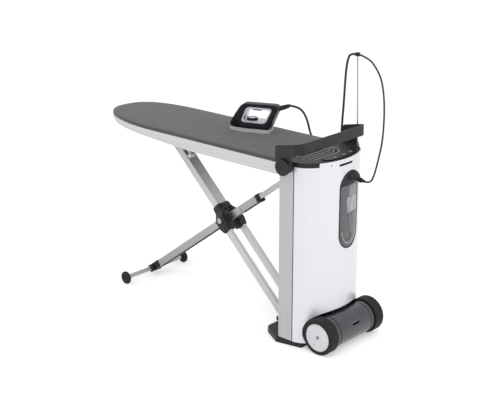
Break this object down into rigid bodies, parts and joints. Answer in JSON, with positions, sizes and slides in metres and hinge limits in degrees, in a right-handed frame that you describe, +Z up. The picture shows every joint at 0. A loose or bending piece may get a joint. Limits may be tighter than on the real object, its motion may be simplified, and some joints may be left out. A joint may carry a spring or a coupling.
{
  "type": "steam ironing system",
  "caption": "Wheeled steam tower with a folding, height-adjustable ironing board on crossed legs, a steam iron and a hose on a rod.",
  "frame": {"origin": "underside of the base plate, on the middle plane, just in front of the tower", "axes": "+X from the board's tip to the wheels, +Y to the far side, +Z up"},
  "size_m": [1.5265, 0.4963, 1.24],
  "materials": {
    "silver_paint": "plastic with satin silver paint",
    "warm_silver": "anodised aluminium",
    "deck_metal": "perforated sheet",
    "black_plastic": "moulded black plastic",
    "seam_rubber": "sealing strip",
    "panel_gloss": "gloss black plastic",
    "fender_grey": "dark grey plastic",
    "tyre_rubber": "soft tyre",
    "hub_white": "pale plastic",
    "steel": "plain steel",
    "chrome": "chromed",
    "smoke": "smoky clear plastic",
    "clear_insert": "pale cartridge",
    "cover_cloth": "dark grey woven cover",
    "sole_metal": "polished soleplate",
    "bezel_silver": "silver-lilac trim",
    "board_green": "circuit board",
    "pump_plastic": "pump housing",
    "hose_black": "steam hose"
  },
  "bodies": {
    "root": {"base_plate": "black_plastic", "front_column": "warm_silver", "seam_strips": "seam_rubber", "body_shell": "silver_paint", "top_cover": "black_plastic", "control_panel": "panel_gloss", "tank_recess": "black_plastic", "bow_handle": "black_plastic", "wheel_fender": "fender_grey", "axle": "steel", "inner_frame": "warm_silver", "boiler": "steel", "pump": "pump_plastic", "power_board": "board_green", "fan_housing": "black_plastic", "hose_socket": "black_plastic", "hose_plug": "black_plastic", "rod_socket": "black_plastic", "hose_rod": "chrome", "hose_clip": "black_plastic", "hose_loop": "hose_black"},
    "lift": {"lift_mast": "steel"},
    "carriage": {"carriage": "steel"},
    "board": {"board_band": "silver_paint", "board_deck": "deck_metal", "board_tray": "black_plastic", "cover_pad": "cover_cloth", "leg_rail": "warm_silver"},
    "slider": {"leg_slider": "black_plastic"},
    "leg_sleeve": {"top_pin": "steel"},
    "leg_a": {"leg_a_upper": "warm_silver", "cross_yoke": "black_plastic", "leg_a_rails": "warm_silver"},
    "cross": {"cross_pin": "steel"},
    "leg_b": {"leg_tube_outer": "warm_silver", "leg_strip": "black_plastic", "tube_collar": "black_plastic", "foot_joint": "black_plastic", "foot_crossbar": "chrome", "foot_discs": "tyre_rubber"},
    "glide": {"tube_shuttle": "black_plastic"},
    "inner_tube": {"leg_tube_inner": "steel"},
    "iron": {"iron_sole": "sole_metal", "iron_body": "panel_gloss", "iron_bezels": "bezel_silver", "iron_gland": "black_plastic", "hose_braid": "hose_black"},
    "iron_key": {"iron_button": "panel_gloss"},
    "panel_key_1": {"key_1": "panel_gloss"},
    "panel_key_2": {"key_2": "panel_gloss"},
    "panel_key_3": {"key_3": "panel_gloss"},
    "tank": {"water_tank": "smoke", "tank_fittings": "clear_insert"},
    "near_knob": {"near_hub_knob": "black_plastic"},
    "far_knob": {"far_hub_knob": "black_plastic"},
    "near_wheel": {"near_tyre": "tyre_rubber", "near_wheel_hub": "hub_white"},
    "far_wheel": {"far_tyre": "tyre_rubber", "far_wheel_hub": "hub_white"},
    "impeller": {"fan_impeller": "black_plastic"}
  },
  "joints": [
    {"name": "height", "type": "slide", "parent": "root", "child": "lift", "axis": [0, 0, 1], "range_m": [0, 0.19]},
    {"name": "fold", "type": "hinge", "parent": "carriage", "child": "board", "pos_m": [-0.022, 0, 0.828], "axis": [0, 1, 0], "range_deg": [0, 90]},
    {"name": "carriage_slide", "type": "slide", "parent": "lift", "child": "carriage", "axis": [0, 0, -1], "range_m": [0, 0.5682]},
    {"name": "slider_run", "type": "slide", "parent": "board", "child": "slider", "axis": [1, 0, 0], "range_m": [0, 0.1952]},
    {"name": "leg_fold", "type": "hinge", "parent": "slider", "child": "leg_sleeve", "pos_m": [-0.815, 0, 0.746], "axis": [0, -1, 0], "range_deg": [0, 45]},
    {"name": "leg_rise", "type": "hinge", "parent": "leg_sleeve", "child": "leg_a", "pos_m": [-0.815, 0, 0.746], "axis": [0, 1, 0], "range_deg": [0, 14.6]},
    {"name": "cross_fold", "type": "hinge", "parent": "leg_a", "child": "cross", "pos_m": [-0.47143, 0, 0.41381], "axis": [0, 1, 0], "range_deg": [0, 76.9]},
    {"name": "cross_rise", "type": "hinge", "parent": "cross", "child": "leg_b", "pos_m": [-0.47143, 0, 0.41381], "axis": [0, -1, 0], "range_deg": [0, 28.9]},
    {"name": "glide_run", "type": "slide", "parent": "leg_b", "child": "glide", "axis": [-0.8018, 0, -0.5976], "range_m": [0, 0.0856]},
    {"name": "tube_run", "type": "slide", "parent": "glide", "child": "inner_tube", "axis": [-0.8018, 0, -0.5976], "range_m": [0, 0.021]},
    {"name": "iron_lift", "type": "slide", "parent": "lift", "child": "iron", "axis": [0, 0, 1], "range_m": [0, 0.96]},
    {"name": "steam_button", "type": "slide", "parent": "iron", "child": "iron_key", "axis": [0, 0, 1], "range_m": [0, 0.0015], "stiffness_N_per_m": 400},
    {"name": "key_1_press", "type": "slide", "parent": "root", "child": "panel_key_1", "axis": [0, 0, -1], "range_m": [0, 0.0012], "stiffness_N_per_m": 400},
    {"name": "key_2_press", "type": "slide", "parent": "root", "child": "panel_key_2", "axis": [0, 0, -1], "range_m": [0, 0.0012], "stiffness_N_per_m": 400},
    {"name": "key_3_press", "type": "slide", "parent": "root", "child": "panel_key_3", "axis": [0, 0, -1], "range_m": [0, 0.0012], "stiffness_N_per_m": 400},
    {"name": "tank_out", "type": "slide", "parent": "root", "child": "tank", "axis": [1, 0, 0], "range_m": [0, 0.09]},
    {"name": "near_knob_turn", "type": "hinge", "parent": "root", "child": "near_knob", "pos_m": [0.056, -0.23, 0.82], "axis": [0, 1, 0], "range_deg": [0, 60]},
    {"name": "far_knob_turn", "type": "hinge", "parent": "root", "child": "far_knob", "pos_m": [0.056, 0.23, 0.82], "axis": [0, 1, 0], "range_deg": [0, 60]},
    {"name": "near_wheel_spin", "type": "hinge", "parent": "root", "child": "near_wheel", "pos_m": [0.218, -0.159, 0.08], "axis": [0, 1, 0], "continuous": true},
    {"name": "far_wheel_spin", "type": "hinge", "parent": "root", "child": "far_wheel", "pos_m": [0.218, 0.159, 0.08], "axis": [0, 1, 0], "continuous": true},
    {"name": "fan_spin", "type": "hinge", "parent": "root", "child": "impeller", "pos_m": [0.076, 0, 0.78], "axis": [0, 0, 1], "continuous": true}
  ],
  "couplings": [
    {"joint": "carriage_slide", "follows": "fold", "m_per_rad": 0.36136},
    {"joint": "slider_run", "follows": "height", "ratio": 1.0245},
    {"joint": "leg_fold", "follows": "fold", "ratio": 0.49812},
    {"joint": "leg_rise", "follows": "height", "rad_per_m": 1.3319},
    {"joint": "cross_fold", "follows": "fold", "ratio": 0.85295},
    {"joint": "cross_rise", "follows": "height", "rad_per_m": 2.6399},
    {"joint": "glide_run", "follows": "fold", "m_per_rad": 0.054142},
    {"joint": "tube_run", "follows": "height", "ratio": 0.10774},
    {"joint": "iron_lift", "follows": "fold", "m_per_rad": 0.61}
  ]
}
